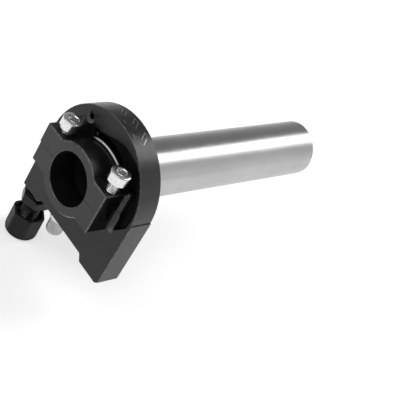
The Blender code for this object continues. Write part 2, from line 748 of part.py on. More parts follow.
def set_axis_origin(obj, place):
    """Put an object's origin on its joint's axis, leaving its shape where it is."""
    origin = Vector([mm(value) for value in place])
    obj.data.transform(Matrix.Translation(-origin))
    obj.location = origin


def main():
    parts, cutters = reset_scene()
    housing_upper(parts, cutters)
    housing_lower(parts, cutters)
    clamp_screw("clamp_screw_front", -SCREW_SIDE, SCREW_LIFT_FRONT, parts, cutters)
    clamp_screw("clamp_screw_rear", SCREW_SIDE, SCREW_LIFT_REAR, parts, cutters)
    return_spring(parts)
    stop_screw(parts)
    stop_screw_nut(parts)
    thrust_washer(parts)
    bar_axis = (0.0, 0.0, 0.0)
    for piece in (throttle_tube(parts, cutters), cable_drum(parts, cutters), *drum_screws(parts)):
        set_axis_origin(piece, bar_axis)
    adjuster_axis = (GROOVE_X, ADJUSTER_Y, KNOB_TOP)
    for piece in (
        adjuster_screw(parts), adjuster_knob(parts, cutters), ferrule_cup(parts),
        lock_nut(parts, cutters), lock_washer(parts),
    ):
        set_axis_origin(piece, adjuster_axis)


main()
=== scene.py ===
import math

import bmesh
import bpy
from mathutils import Matrix, Vector


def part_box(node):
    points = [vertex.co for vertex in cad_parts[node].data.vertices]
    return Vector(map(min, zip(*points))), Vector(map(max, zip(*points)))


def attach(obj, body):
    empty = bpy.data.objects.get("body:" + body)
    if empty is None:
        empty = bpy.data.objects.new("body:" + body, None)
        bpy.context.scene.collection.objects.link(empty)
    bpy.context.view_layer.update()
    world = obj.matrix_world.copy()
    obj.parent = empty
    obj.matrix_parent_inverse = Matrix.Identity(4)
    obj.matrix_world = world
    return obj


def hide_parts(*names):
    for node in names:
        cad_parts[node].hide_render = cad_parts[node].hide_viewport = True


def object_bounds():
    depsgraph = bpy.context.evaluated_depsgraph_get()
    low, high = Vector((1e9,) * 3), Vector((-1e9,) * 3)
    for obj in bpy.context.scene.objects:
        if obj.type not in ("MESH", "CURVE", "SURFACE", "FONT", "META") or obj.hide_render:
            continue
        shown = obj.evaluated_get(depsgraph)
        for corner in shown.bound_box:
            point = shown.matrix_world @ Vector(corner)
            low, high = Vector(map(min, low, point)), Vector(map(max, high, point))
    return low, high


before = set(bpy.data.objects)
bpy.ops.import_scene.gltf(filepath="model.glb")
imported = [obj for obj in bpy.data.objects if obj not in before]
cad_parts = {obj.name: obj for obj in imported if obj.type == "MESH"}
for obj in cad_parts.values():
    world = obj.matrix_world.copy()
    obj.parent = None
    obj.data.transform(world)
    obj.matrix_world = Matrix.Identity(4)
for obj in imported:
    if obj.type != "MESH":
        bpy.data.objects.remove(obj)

cad_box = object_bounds()

# ---------------------------------------------------------------- sizes, mm, in the part's frame
MM = 0.001
BAR_BORE_R = 11.1
CLAMP_DEPTH = 11.7
BARREL_R = 15.2
EAR_REAR = 20.0
EAR_FRONT_UPPER = 21.8
EAR_FRONT_LOWER = 21.3
EAR_TOP = 10.1
EAR_BOTTOM_REAR = -9.8
EAR_BOTTOM_FRONT = -8.8
EAR_FILLET = 2.0
SPLIT_UP = 0.6
SPLIT_GAP = 0.14
DISC_R = 28.75
DISC_DEPTH = 10.8
LOWER_REAR = 29.2
LOWER_FRONT = 29.0
LOWER_FLOOR = -33.2
FRONT_FLOOR = -32.4
FLOOR_RELIEF = -30.2
RELIEF_REAR = 14.0
RELIEF_FRONT = 16.3
RELIEF_RAMP = 2.0
CORNER_CHAMFER = 1.6
CAVITY_R = 26.0
INBOARD_WALL = 1.8
OUTBOARD_WALL = 1.3
TUBE_HOLE_R = 12.85
SCREW_SIDE = 16.3
SCREW_HEAD_R = 4.25
SCREW_HEAD_H = 4.6
SCREW_SHANK_R = 2.45
SCREW_HOLE_R = 2.8
SCREW_PITCH = 0.8
SCREW_THREAD = 0.42
SOCKET_R = 2.3
SOCKET_DEPTH = 2.6
TUBE_R = 12.5
TUBE_BORE_R = 11.45
FLANGE_R = 25.3
DRUM_R = 25.3
GROOVE_X = 17.1
GROOVE_R = 22.2
CABLE_R = 23.2
NIPPLE_ANGLE = 122.0
NIPPLE_SEAT_R = 22.3
NIPPLE_POCKET_R = 2.45
SIGHT_HOLE = (-14.4, 18.8)
SIGHT_HOLE_R = 1.3
SIGHT_MOUTH_R = 2.7
SIGHT_DEPTH = 0.9
SPRING_R = 16.0
SPRING_WIRE_R = 0.6
SPRING_LEG_R = 17.9
SPRING_LEG_ANGLE = -230.0
LEG_SLOT_R = 18.6
STUD_R = 4.0
STUD_PITCH = 1.25
STUD_THREAD = 0.65
NUT_FLATS = 12.3
NUT_TURN = 21.8
KNOB_R = 7.4
KNOB_NOSE = 1.5
KNOB_FLAT_DEPTH = 0.7
KNOB_MOUTH_R = 6.0
KNOB_MOUTH_DEPTH = 2.6
STUD_GRIP = 4.3
FERRULE_TOP = -50.2

DISC_START = CLAMP_DEPTH
DISC_END = CLAMP_DEPTH + DISC_DEPTH
CAVITY_START = DISC_START + INBOARD_WALL
CAVITY_END = DISC_END - OUTBOARD_WALL
SCREW_X = CLAMP_DEPTH / 2
UPPER_FACE = SPLIT_UP + SPLIT_GAP / 2
LOWER_FACE = SPLIT_UP - SPLIT_GAP / 2
FLOOR_GLOW = 0.5
WALLS = 0.5
CEILING = 0.25
SOFTBOXES = (                # name, share along the bar, angle round it, half its span, depth, radiance
    ("key", 0.72, 79.0, 18.0, 0.8, 3.4),
    ("rear", 0.72, 27.0, 25.0, 0.8, 0.5),
    ("overhead", -0.6, 95.0, 38.0, 0.7, 1.2),
)
CAMERA_AT = (-276.0, -216.2, 256.7)
CAMERA_RIGHT = (0.6842, -0.5692, 0.4559)
CAMERA_UP = (0.1235, 0.7066, 0.6968)
CAMERA_LENS = 100.2          # on a 36 mm sensor

EDGE = 0.3                   # rounding of the machined edges
BOSS_CHAMFER = 0.5
BORE_CHAMFER = 0.3
OVERLAP = 2.0                # each half is made this far past the split, then cut back to it
FINE = 2.0                   # degrees between points on the big curves
WINDOW_SPLIT_ANGLE = 124.0
POCKET_DEPTH = 1.2
LAND_SIDE = 21.3
LAND_OUTER = 22.2
LAND_START = 10.3            # the strip begins here on the ear's side
MARKS = 3                    # generic marks engraved on the rim
MARK_ANGLE = 88.0
MARK_SPACING = 15.0
MARK_DEPTH = 0.16
MARK_WIDTH = 0.34
SCREW_CLEAR = 3.4            # round a clamp screw, faces of the hole don't get the rubbed-edge and painted-highlight material
NEAR_FACE = 0.2              # a face this close to a plane counts as on it
WORN_AND_HIGHLIGHT, PAINTED_HIGHLIGHT, ENGRAVED, INBOARD, SIDE = range(1, 6)    # housing's materials after the first, as main lists them: rubbed edges with painted highlight, painted highlight on strip and ledge, engraving, inboard face with painted shade, rear ear side with painted shade
TUBE_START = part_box("throttle_tube")[0].x / MM
TUBE_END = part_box("throttle_tube")[1].x / MM
ADJUSTER_AXIS = (GROOVE_X, CABLE_R, 0.0)


# ---------------------------------------------------------------- outlines
def polar(radius, degrees):
    angle = math.radians(degrees)
    return radius * math.cos(angle), radius * math.sin(angle)


def arc(radius, start, end, step=FINE, centre=(0.0, 0.0)):
    """Points on an arc, both ends included."""
    count = max(1, math.ceil(abs(end - start) / step))
    points = []
    for index in range(count + 1):
        across, up = polar(radius, start + (end - start) * index / count)
        points.append((centre[0] + across, centre[1] + up))
    return points


def soften(points, steps=4):
    """Round the corners of a closed outline. A point may carry its corner's radius as a third number."""
    made = []
    for index, point in enumerate(points):
        corner = Vector(point[:2])
        radius = point[2] if len(point) > 2 else 0.0
        before = Vector(points[index - 1][:2]) - corner
        after = Vector(points[(index + 1) % len(points)][:2]) - corner
        if radius <= 0.0:
            made.append(tuple(corner))
            continue
        half = before.angle(after) / 2
        reach = min(radius / math.tan(half), before.length * 0.48, after.length * 0.48)
        radius = reach * math.tan(half)
        middle = corner + (before.normalized() + after.normalized()).normalized() * radius / math.sin(half)
        first = corner + before.normalized() * reach - middle
        last = corner + after.normalized() * reach - middle
        turn = first.angle_signed(last)
        for step in range(steps + 1):
            spoke = first.copy()
            spoke.rotate(Matrix.Rotation(-turn * step / steps, 2))
            made.append(tuple(middle + spoke))
    return made


def shrink(points, distance):
    """A closed outline moved inwards, or outwards for a negative distance."""
    area = sum(a[0] * b[1] - b[0] * a[1] for a, b in zip(points, points[1:] + points[:1]))
    side = 1.0 if area > 0 else -1.0
    moved = []
    for index, point in enumerate(points):
        here = Vector(point)
        before = (here - Vector(points[index - 1])).normalized()
        after = (Vector(points[(index + 1) % len(points)]) - here).normalized()
        first = Vector((-before.y, before.x)) * side
        second = Vector((-after.y, after.x)) * side
        share = max(0.3, 1.0 + first.dot(second))
        moved.append(tuple(here + (first + second) * distance / share))
    return moved


# ---------------------------------------------------------------- solids
def add_object(name, bm, smooth=32.0):
    bmesh.ops.remove_doubles(bm, verts=bm.verts, dist=0.0005 * MM)
    bmesh.ops.recalc_face_normals(bm, faces=bm.faces)
    mesh = bpy.data.meshes.new(name)
    bm.to_mesh(mesh)
    bm.free()
    made = bpy.data.objects.new(name, mesh)
    bpy.context.scene.collection.objects.link(made)
    set_shading(made, smooth)
    return made


def set_shading(obj, smooth=32.0):
    obj.data.shade_smooth()
    obj.data.set_sharp_from_angle(angle=math.radians(smooth))


def slab(name, outline, start, end, round_start=EDGE, round_end=EDGE, steps=3):
    """An outline of (rear, up) points, solid between two places along the bar, its rims rounded.

    A negative rounding flares the rim outwards, as a cutter needs for a chamfered mouth.
    """
    layers = []
    for step in range(steps + 1):
        angle = math.radians(90.0 * step / steps)
        layers.append((start + abs(round_start) * (1 - math.cos(angle)), round_start * (1 - math.sin(angle))))
    for step in range(steps + 1):
        angle = math.radians(90.0 * (steps - step) / steps)
        layers.append((end - abs(round_end) * (1 - math.cos(angle)), round_end * (1 - math.sin(angle))))
    bm = bmesh.new()
    rings = []
    for place, inset in layers:
        points = shrink(outline, inset) if inset else outline
        rings.append([bm.verts.new((place * MM, -rear * MM, up * MM)) for rear, up in points])
    for ring, following in zip(rings, rings[1:]):
        for index in range(len(ring)):
            after = (index + 1) % len(ring)
            bm.faces.new((ring[index], ring[after], following[after], following[index]))
    bm.faces.new(rings[0])
    bm.faces.new(rings[-1])
    return add_object(name, bm)


def lathe(name, profile, centre=(0.0, 0.0, 0.0), along="X", segments=96, limit=None, pitch=None, smooth=32.0):
    """Turn a closed profile of (radius, place) points about an axis through centre.

    A point's third number is the depth of a thread cut there, of that pitch. limit(angle, place) can hold
    the radius in, for flats.
    """
    bm = bmesh.new()
    middle = Vector(centre)
    rings = []
    for radius, place, *groove in profile:
        ring = []
        for index in range(segments if radius > 0.001 else 1):
            angle = math.tau * index / segments
            reach = radius
            if groove and pitch:
                share = (place / pitch - index / segments) % 1.0
                reach -= groove[0] * min(1.0, abs(2.0 * share - 1.0) * 1.35)
            if limit:
                reach = min(reach, limit(angle, place))
            across, up = reach * math.cos(angle), reach * math.sin(angle)
            corner = Vector((place, -across, up)) if along == "X" else Vector((across, up, place))
            ring.append(bm.verts.new((corner + middle) * MM))
        rings.append(ring)
    for ring, following in zip(rings, rings[1:] + rings[:1]):
        for index in range(segments):
            corners = [ring[index % len(ring)], ring[(index + 1) % len(ring)]]
            corners += [following[(index + 1) % len(following)], following[index % len(following)]]
            unique = list(dict.fromkeys(corners))
            if len(unique) > 2:
                bm.faces.new(unique)
    return add_object(name, bm, smooth)


def thread_rows(radius, depth, start, end, pitch, rows=8):
    """Rows of a thread between two places, its depth running out at both ends."""
    count = max(2, round(abs(end - start) / pitch * rows))
    made = []
    for index in range(count + 1):
        run_out = min(1.0, index / rows * 1.4, (count - index) / rows * 1.4)
        made.append((radius, start + (end - start) * index / count, depth * run_out))
    return made


def combine(obj, *tools, operation="DIFFERENCE", smooth=32.0):
    """Booleans, applied one by one; the tools are gone afterwards."""
    for tool in tools:
        boolean = obj.modifiers.new("combine", "BOOLEAN")
        boolean.operation = operation
        boolean.solver = "MANIFOLD"
        boolean.object = tool
        bpy.context.view_layer.update()
        depsgraph = bpy.context.evaluated_depsgraph_get()
        mesh = bpy.data.meshes.new_from_object(obj.evaluated_get(depsgraph))
        obj.modifiers.clear()
        old = obj.data
        obj.data = mesh
        mesh.name = old.name
        bpy.data.meshes.remove(old)
        bpy.data.objects.remove(tool, do_unlink=True)
    bm = bmesh.new()
    bm.from_mesh(obj.data)
    bmesh.ops.remove_doubles(bm, verts=bm.verts, dist=0.002 * MM)
    bmesh.ops.dissolve_degenerate(bm, edges=bm.edges, dist=0.001 * MM)
    bm.to_mesh(obj.data)
    bm.free()
    set_shading(obj, smooth)
    return obj


def even_normals(obj):
    """Flat faces keep flat shading up to their rounded edges."""
    weighted = obj.modifiers.new("even_normals", "WEIGHTED_NORMAL")
    weighted.keep_sharp = True
    weighted.weight = 100
    return obj


def place_piece(obj, body, surface, slot, *nodes):
    indices = [face.material_index for face in obj.data.polygons]
    obj.data.materials.clear()
    for item in surface if isinstance(surface, (list, tuple)) else (surface,):
        obj.data.materials.append(item)
    obj.data.polygons.foreach_set("material_index", indices)
    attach(obj, body)
    if nodes:
        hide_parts(*nodes)
    return obj


# ---------------------------------------------------------------- surfaces
class Surface:
    """A Principled material with helpers that wire procedural texture into it."""

    def __init__(self, name, metallic, roughness, **sockets):
        self.material = bpy.data.materials.new(name)
        self.material.use_nodes = True
        self.nodes = self.material.node_tree.nodes
        self.links = self.material.node_tree.links
        self.shader = self.nodes["Principled BSDF"]
        self.shader.inputs["Metallic"].default_value = metallic
        self.shader.inputs["Roughness"].default_value = roughness
        for socket, value in sockets.items():
            self.shader.inputs[socket.replace("_", " ")].default_value = value
        self.coords = self.nodes.new("ShaderNodeTexCoord").outputs["Object"]
        self.height = None

    def noise(self, feature, stretch=(1.0, 1.0, 1.0), detail=3.0, rough=0.55):
        """Noise whose features are about this many millimetres, longer where stretch is larger."""
        mapping = self.nodes.new("ShaderNodeMapping")
        mapping.inputs["Scale"].default_value = [1.0 / (feature * MM * value) for value in stretch]
        texture = self.nodes.new("ShaderNodeTexNoise")
        texture.inputs["Scale"].default_value = 1.0
        texture.inputs["Detail"].default_value = detail
        texture.inputs["Roughness"].default_value = rough
        self.links.new(self.coords, mapping.inputs["Vector"])
        self.links.new(mapping.outputs["Vector"], texture.inputs["Vector"])
        return texture.outputs["Fac"]

    def spread(self, factor, low, high, start=0.3, end=0.7):
        remap = self.nodes.new("ShaderNodeMapRange")
        remap.inputs["From Min"].default_value = start
        remap.inputs["From Max"].default_value = end
        remap.inputs["To Min"].default_value = low
        remap.inputs["To Max"].default_value = high
        self.links.new(factor, remap.inputs["Value"])
        return remap.outputs["Result"]

    def tint(self, factor, dark, light, start=0.35, end=0.65):
        ramp = self.nodes.new("ShaderNodeValToRGB")
        ramp.color_ramp.elements[0].position = start
        ramp.color_ramp.elements[0].color = (*dark, 1.0)
        ramp.color_ramp.elements[1].position = end
        ramp.color_ramp.elements[1].color = (*light, 1.0)
        self.links.new(factor, ramp.inputs["Fac"])
        self.links.new(ramp.outputs["Color"], self.shader.inputs["Base Color"])

    def roughen(self, factor, low, high, start=0.3, end=0.7):
        self.links.new(self.spread(factor, low, high, start, end), self.shader.inputs["Roughness"])

    def bump(self, factor, depth, strength=1.0):
        """Relief of about this depth in millimetres, on top of any relief so far."""
        relief = self.nodes.new("ShaderNodeBump")
        relief.inputs["Strength"].default_value = strength
        relief.inputs["Distance"].default_value = depth * MM
        self.links.new(factor, relief.inputs["Height"])
        if self.height is not None:
            self.links.new(self.height, relief.inputs["Normal"])
        self.height = relief.outputs["Normal"]
        self.links.new(self.height, self.shader.inputs["Normal"])


def black_anodised():
    """Bead-blasted, black anodised aluminium."""
    surface = Surface("black_anodised", 0.0, 0.3, IOR=1.52)
    cloud = surface.noise(9.0)
    surface.tint(cloud, (0.006, 0.006, 0.0063), (0.0088, 0.0088, 0.0091))
    grain = surface.noise(0.22, detail=2.0)
    surface.roughen(surface.noise(2.5, detail=5.0), 0.26, 0.36)
    surface.bump(grain, 0.012)
    return surface.material


def engraved_metal():
    """Bare metal at the floor of the engraved lines."""
    surface = Surface("engraved_metal", 1.0, 0.35)
    surface.tint(surface.noise(0.5, detail=4.0), (0.2, 0.2, 0.2), (0.55, 0.55, 0.55))
    surface.roughen(surface.noise(0.4), 0.25, 0.45)
    return surface.material


def face_anodised_painted_shade():
    """The housing's inboard face, a little less glossy, and painted darker than the rest of the anodising as
    painted shade.
    """
    surface = Surface("black_anodised_face_painted_shade", 0.0, 0.3, IOR=1.42)
    surface.tint(surface.noise(9.0), (0.003, 0.003, 0.0033), (0.0055, 0.0055, 0.0058))
    surface.roughen(surface.noise(2.5, detail=5.0), 0.27, 0.37)
    surface.bump(surface.noise(0.22, detail=2.0), 0.012)
    return surface.material


def side_smooth_painted_shade():
    """The rear ear's side, milled smoother than the rest, and painted darker as painted shade."""
    surface = Surface("black_anodised_side_painted_shade", 0.0, 0.14, IOR=1.3)
    surface.tint(surface.noise(6.0), (0.0025, 0.0025, 0.0027), (0.0045, 0.0045, 0.0048))
    surface.roughen(surface.noise(2.0, detail=4.0), 0.12, 0.18)
    surface.bump(surface.noise(0.3, detail=2.0), 0.003)
    return surface.material


def drum_painted_shade():
    """The drum, dull, and painted near black as painted shade inside the housing."""
    surface = Surface("drum_painted_shade", 0.0, 0.5, IOR=1.22)
    surface.tint(surface.noise(3.0), (0.0012, 0.0012, 0.0013), (0.0024, 0.0024, 0.0026))
    surface.roughen(surface.noise(1.4, detail=4.0), 0.42, 0.58)
    surface.bump(surface.noise(0.22, detail=2.0), 0.01)
    return surface.material


def tube_bore_painted_shade():
    """Inside of the tube: painted shade, a dull dark grey in place of the bare aluminium in the shade of the
    bore.
    """
    surface = Surface("tube_bore_painted_shade", 0.0, 0.6, IOR=1.3)
    surface.tint(surface.noise(9.0, detail=2.0), (0.022, 0.022, 0.022), (0.03, 0.03, 0.03))
    surface.roughen(surface.noise(4.0), 0.56, 0.66)
    surface.bump(surface.noise(0.3, stretch=(1.0, 8.0, 8.0)), 0.004)
    return surface.material


def painted_highlight_anodising():
    """Painted highlight: the strip beside the rear ear and the ledge over the rear rim, painted light grey
    where light catches them.
    """
    surface = Surface("painted_highlight_anodising", 0.0, 0.4, IOR=1.6)
    surface.tint(surface.noise(1.5, detail=4.0), (0.065, 0.065, 0.066), (0.085, 0.085, 0.086))
    surface.roughen(surface.noise(0.8), 0.4, 0.5)
    return surface.material


def worn_edge_and_painted_highlight():
    """The black anodising where handling has rubbed the machined edges, lightened further as a painted
    highlight along them.
    """
    surface = Surface("black_anodised_edge_wear_and_highlight", 0.0, 0.3, IOR=1.7)
    surface.tint(surface.noise(1.1, detail=6.0), (0.016, 0.016, 0.0165), (0.15, 0.15, 0.15), 0.42, 0.78)
    surface.roughen(surface.noise(0.6), 0.24, 0.4)
    return surface.material


def bare_aluminium():
    """Fine-turned tube: rings round its axis, with faint handling marks along it."""
    surface = Surface("turned_aluminium", 1.0, 0.24, Anisotropic=0.5)
    tangent = surface.nodes.new("ShaderNodeTangent")
    tangent.direction_type = "RADIAL"
    tangent.axis = "X"
    surface.links.new(tangent.outputs["Tangent"], surface.shader.inputs["Tangent"])
    surface.shader.inputs["Anisotropic Rotation"].default_value = 0.25
    rings = surface.noise(0.16, stretch=(1.0, 40.0, 40.0), detail=2.0)
    surface.tint(surface.noise(14.0, stretch=(2.5, 1.0, 1.0)), (0.43, 0.43, 0.434), (0.49, 0.49, 0.494))
    surface.roughen(surface.noise(3.0, stretch=(0.4, 3.0, 3.0), detail=5.0), 0.28, 0.38)
    surface.bump(rings, 0.006)
    return surface.material


def domed_zinc():
    """Duller zinc of the stop screw."""
    surface = Surface("domed_zinc", 1.0, 0.36)
    surface.tint(surface.noise(0.9, detail=4.0), (0.3, 0.3, 0.305), (0.44, 0.44, 0.445))
    surface.roughen(surface.noise(0.5, detail=4.0), 0.28, 0.44)
    surface.bump(surface.noise(0.5, detail=3.0), 0.012)
    return surface.material


def bright_zinc():
    """Bright zinc plating of the clamp screws and the stop screw's nut."""
    surface = Surface("bright_zinc", 1.0, 0.2)
    surface.tint(surface.noise(0.9, detail=4.0), (0.68, 0.68, 0.685), (0.84, 0.84, 0.845))
    surface.roughen(surface.noise(0.5, detail=4.0), 0.12, 0.32)
    surface.bump(surface.noise(0.6, detail=3.0), 0.035)
    return surface.material


def spring_wire():
    surface = Surface("spring_wire", 1.0, 0.42)
    surface.tint(surface.noise(0.5, detail=4.0), (0.62, 0.62, 0.63), (0.78, 0.78, 0.79))
    surface.roughen(surface.noise(0.4), 0.36, 0.5)
    surface.bump(surface.noise(0.2), 0.008)
    return surface.material


def black_oxide():
    """Oiled black steel of the nut, its washer and the drum's screws."""
    surface = Surface("black_oxide", 0.0, 0.34, IOR=1.35)
    surface.tint(surface.noise(1.6, detail=5.0), (0.004, 0.004, 0.0042), (0.012, 0.012, 0.012))
    surface.roughen(surface.noise(0.8, detail=4.0), 0.24, 0.42)
    surface.bump(surface.noise(0.18), 0.008)
    return surface.material


def stud_steel():
    """Black steel of the stud, darker and glossier than the nut's black oxide."""
    surface = Surface("stud_steel", 0.0, 0.2, IOR=1.45)
    surface.tint(surface.noise(1.2, detail=5.0), (0.0012, 0.0012, 0.0013), (0.004, 0.004, 0.0042))
    surface.roughen(surface.noise(0.7, detail=4.0), 0.14, 0.3)
    surface.bump(surface.noise(0.3), 0.008)
    return surface.material


def black_plastic():
    """Moulded black nylon."""
    surface = Surface("black_nylon", 0.0, 0.5, IOR=1.3)
    surface.tint(surface.noise(4.0), (0.006, 0.006, 0.0065), (0.011, 0.011, 0.0115))
    surface.roughen(surface.noise(1.2, detail=4.0), 0.46, 0.58)
    surface.bump(surface.noise(0.12, detail=2.0), 0.008)
    return surface.material


def white_nylon():
    surface = Surface("white_nylon", 0.0, 0.4, IOR=1.5, Subsurface_Weight=0.1)
    surface.tint(surface.noise(3.0), (0.62, 0.61, 0.57), (0.74, 0.73, 0.69))
    surface.roughen(surface.noise(1.0), 0.36, 0.5)
    surface.bump(surface.noise(0.2), 0.01)
    return surface.material


# ---------------------------------------------------------------- housing
def ear_outline(half, level):
    """One ear and its fillet into the barrel, as if it were on the rear, and where the fillet ends."""
    reach = BARREL_R + EAR_FILLET
    centre_up = level + EAR_FILLET
    centre_across = math.sqrt(reach * reach - centre_up * centre_up)
    lean = math.degrees(math.atan2(centre_up, centre_across))
    fillet = arc(EAR_FILLET, -90.0, lean - 180.0, 8.0, (centre_across, centre_up))
    return [(half, -OVERLAP), (half, level, BOSS_CHAMFER + 0.1)] + fillet, lean


def boss_outline(upper):
    """Clamp boss, one half and a little over: a half-round barrel with an ear on each side."""
    turn = 1.0 if upper else -1.0
    rear, rear_lean = ear_outline(EAR_REAR, EAR_TOP if upper else -EAR_BOTTOM_REAR)
    front_half = EAR_FRONT_UPPER if upper else EAR_FRONT_LOWER
    front, front_lean = ear_outline(front_half, EAR_TOP if upper else -EAR_BOTTOM_FRONT)
    crown = arc(BARREL_R, rear_lean, 180.0 - front_lean)[1:-1]
    front = [(-point[0], *point[1:]) for point in reversed(front)]
    outline = soften(rear + crown + front)
    return [(across, turn * up) for across, up in outline]


def upper_disc_outline():
    return arc(DISC_R, 0.0, 180.0) + [(-DISC_R, -OVERLAP), (DISC_R, -OVERLAP)]


def lower_disc_outline():
    front_ramp = RELIEF_RAMP * (FLOOR_RELIEF - FRONT_FLOOR) / (FLOOR_RELIEF - LOWER_FLOOR)
    return soften([
        (LOWER_REAR, OVERLAP),
        (LOWER_REAR, LOWER_FLOOR + CORNER_CHAMFER, 0.8),
        (LOWER_REAR - CORNER_CHAMFER, LOWER_FLOOR, 0.8),
        (RELIEF_REAR + RELIEF_RAMP, LOWER_FLOOR, 0.8),
        (RELIEF_REAR, FLOOR_RELIEF, 0.8),
        (-RELIEF_FRONT, FLOOR_RELIEF, 0.8),
        (-RELIEF_FRONT - front_ramp, FRONT_FLOOR, 0.8),
        (-LOWER_FRONT, FRONT_FLOOR, 0.5),
        (-LOWER_FRONT, OVERLAP),
    ])


def window_outline():
    """The opening of the inboard face, front ear to rear rim and back under the barrel's crown."""
    lobe_r = SIGHT_MOUTH_R + 0.7
    inner = BARREL_R + 0.1
    start = math.degrees(math.asin((EAR_TOP + 0.4) / inner))
    corner = (polar(inner, start)[0] + 0.8, EAR_TOP + 0.15)
    outline = [(-20.9, 10.4, 0.5), (-21.0, 11.6, 0.5)]
    outline += arc(24.0, 150.0, 140.0)
    outline += arc(lobe_r, 215.0, 325.0, 10.0, SIGHT_HOLE)
    outline += [(-9.3, 17.8), (-5.5, 18.7), (0.0, 21.0), (4.0, 22.6), (8.1, 23.4), (12.5, 22.9)]
    outline += arc(27.7, 53.0, -2.7)
    outline += [(22.1, -8.5, 0.5), (22.1, -1.5, 0.5), (LAND_SIDE, SPLIT_UP, 0.5)]
    outline += [(LAND_SIDE, EAR_TOP + 0.15)]
    outline += [corner]
    outline += arc(inner, start, 180.0 - start)
    outline += [(-corner[0], corner[1])]
    return soften(outline)


def window_cutter():
    """The through opening on the rear side, and a shallow pocket on the front side of it."""
    through = slab("window", window_outline(), DISC_START - 1.0, CAVITY_START + 0.2, 0.0, 0.0)
    wedge = [(0.0, 0.0)] + arc(50.0, WINDOW_SPLIT_ANGLE, 200.0, 10.0)
    combine(through, slab("wedge", wedge, DISC_START + POCKET_DEPTH, CAVITY_START + 1.0, 0.0, 0.0))
    return through


def screw_hole(side, top, bottom):
    """Clearance hole through an ear, its mouths broken."""
    wide = SCREW_HOLE_R + 1.35
    profile = [
        (0.0, top + 1.0), (wide, top + 1.0), (SCREW_HOLE_R, top - 0.35), (SCREW_HOLE_R, bottom + 0.35),
        (wide, bottom - 1.0), (0.0, bottom - 1.0),
    ]
    return lathe("screw_hole", profile, (SCREW_X, -side, 0.0), "Z", 48)


def hollow_cutter():
    """Handlebar bore, drum cavity and the tube's hole, turned in one."""
    profile = [
        (0.0, -1.0), (BAR_BORE_R + BORE_CHAMFER + 1.0, -1.0), (BAR_BORE_R, BORE_CHAMFER),
        (BAR_BORE_R, TUBE_START - 0.15), (TUBE_HOLE_R, TUBE_START - 0.15), (TUBE_HOLE_R, CAVITY_START),
        (CAVITY_R, CAVITY_START), (CAVITY_R, CAVITY_END), (TUBE_HOLE_R, CAVITY_END),
        (TUBE_HOLE_R, DISC_END - 0.4), (TUBE_HOLE_R + 1.4, DISC_END + 1.0), (0.0, DISC_END + 1.0),
    ]
    return lathe("hollow", profile, segments=180)


def housing_half(upper):
    name = "housing_upper" if upper else "housing_lower"
    outline = upper_disc_outline() if upper else lower_disc_outline()
    body = slab(name + "_shell", outline, DISC_START, DISC_END, EDGE, EDGE + 0.1)
    boss = slab("boss", boss_outline(upper), 0.0, DISC_START + 1.0, BOSS_CHAMFER, 0.0, 1)
    combine(body, boss, operation="UNION")
    far = 50.0
    side = 1.0 if upper else -1.0
    half_space = [(-far, 0.0), (far, 0.0), (far, -side * far), (-far, -side * far)]
    half_space = [(across, up + (UPPER_FACE if upper else LOWER_FACE)) for across, up in half_space]
    combine(body, slab("half_space", half_space, -far, far, 0.0, 0.0))
    combine(body, hollow_cutter(), window_cutter())
    combine(body, screw_hole(SCREW_SIDE, EAR_TOP, EAR_BOTTOM_REAR))
    combine(body, screw_hole(-SCREW_SIDE, EAR_TOP, EAR_BOTTOM_FRONT))
    return body


def housing_upper():
    body = housing_half(True)
    across, up = SIGHT_HOLE
    start, end = DISC_START - 1.0, CAVITY_START + 0.5
    slope = (SIGHT_MOUTH_R - SIGHT_HOLE_R) / SIGHT_DEPTH
    profile = [
        (0.0, start), (SIGHT_MOUTH_R + slope, start), (SIGHT_HOLE_R, DISC_START + SIGHT_DEPTH),
        (SIGHT_HOLE_R, end), (0.0, end),
    ]
    combine(body, lathe("sight_hole", profile, (0.0, -across, up), "X", 64), *rim_marks())
    mark_edges(body)
    paint_engraving(body)
    return even_normals(body)


def housing_lower():
    body = housing_half(False)
    floor, relief = FRONT_FLOOR, FLOOR_RELIEF
    stud = [(0.0, -8.0), (4.3, -8.0), (4.3, floor + 0.4), (5.7, floor - 1.0), (0.0, floor - 1.0)]
    stop = [(0.0, -24.0), (2.7, -24.0), (2.7, relief + 0.3), (4.0, relief - 1.0), (0.0, relief - 1.0)]
    combine(
        body, lathe("stud_hole", stud, (GROOVE_X, CABLE_R, 0.0), "Z", 64),
        lathe("stop_hole", stop, (16.3, 6.6, 0.0), "Z", 48),
    )
    mark_edges(body)
    return even_normals(body)


# ---------------------------------------------------------------- marks on the rim
def rim_band(name, outline, middle_angle, middle_x, width, depth):
    """Cutter for an engraved line that follows a closed outline of (along the rim, along the bar) points."""
    fine = []
    for here, after in zip(outline, outline[1:] + outline[:1]):
        count = max(1, math.ceil(math.dist(here, after) / 0.8))
        for step in range(count):
            share = step / count
            fine.append((here[0] + (after[0] - here[0]) * share, here[1] + (after[1] - here[1]) * share))
    bm = bmesh.new()
    rings = []
    outside, bottom, half = DISC_R + 0.5, DISC_R - depth, width / 2
    for inset, radius in ((-half, outside), (-half, bottom), (half, bottom), (half, outside)):
        ring = []
        for along, across in shrink(fine, inset):
            rear, up = polar(radius, middle_angle + math.degrees(along / DISC_R))
            ring.append(bm.verts.new(((middle_x + across) * MM, -rear * MM, up * MM)))
        rings.append(ring)
    for ring, following in zip(rings, rings[1:] + rings[:1]):
        for index in range(len(ring)):
            after = (index + 1) % len(ring)
            bm.faces.new((ring[index], ring[after], following[after], following[index]))
    return add_object(name, bm)


def rim_marks():
    """Three plain outlined chevrons that point the way the throttle opens."""
    chevron = [(-2.6, -3.2), (-0.2, -3.2), (2.6, 0.0), (-0.2, 3.2), (-2.6, 3.2), (0.2, 0.0)]
    chevron = [(-along, across) for along, across in reversed(chevron)]
    marks = []
    for index in range(MARKS):
        angle = MARK_ANGLE + (index - (MARKS - 1) / 2) * MARK_SPACING
        marks.append(rim_band("mark", chevron, angle, GROOVE_X, MARK_WIDTH, MARK_DEPTH))
    return marks


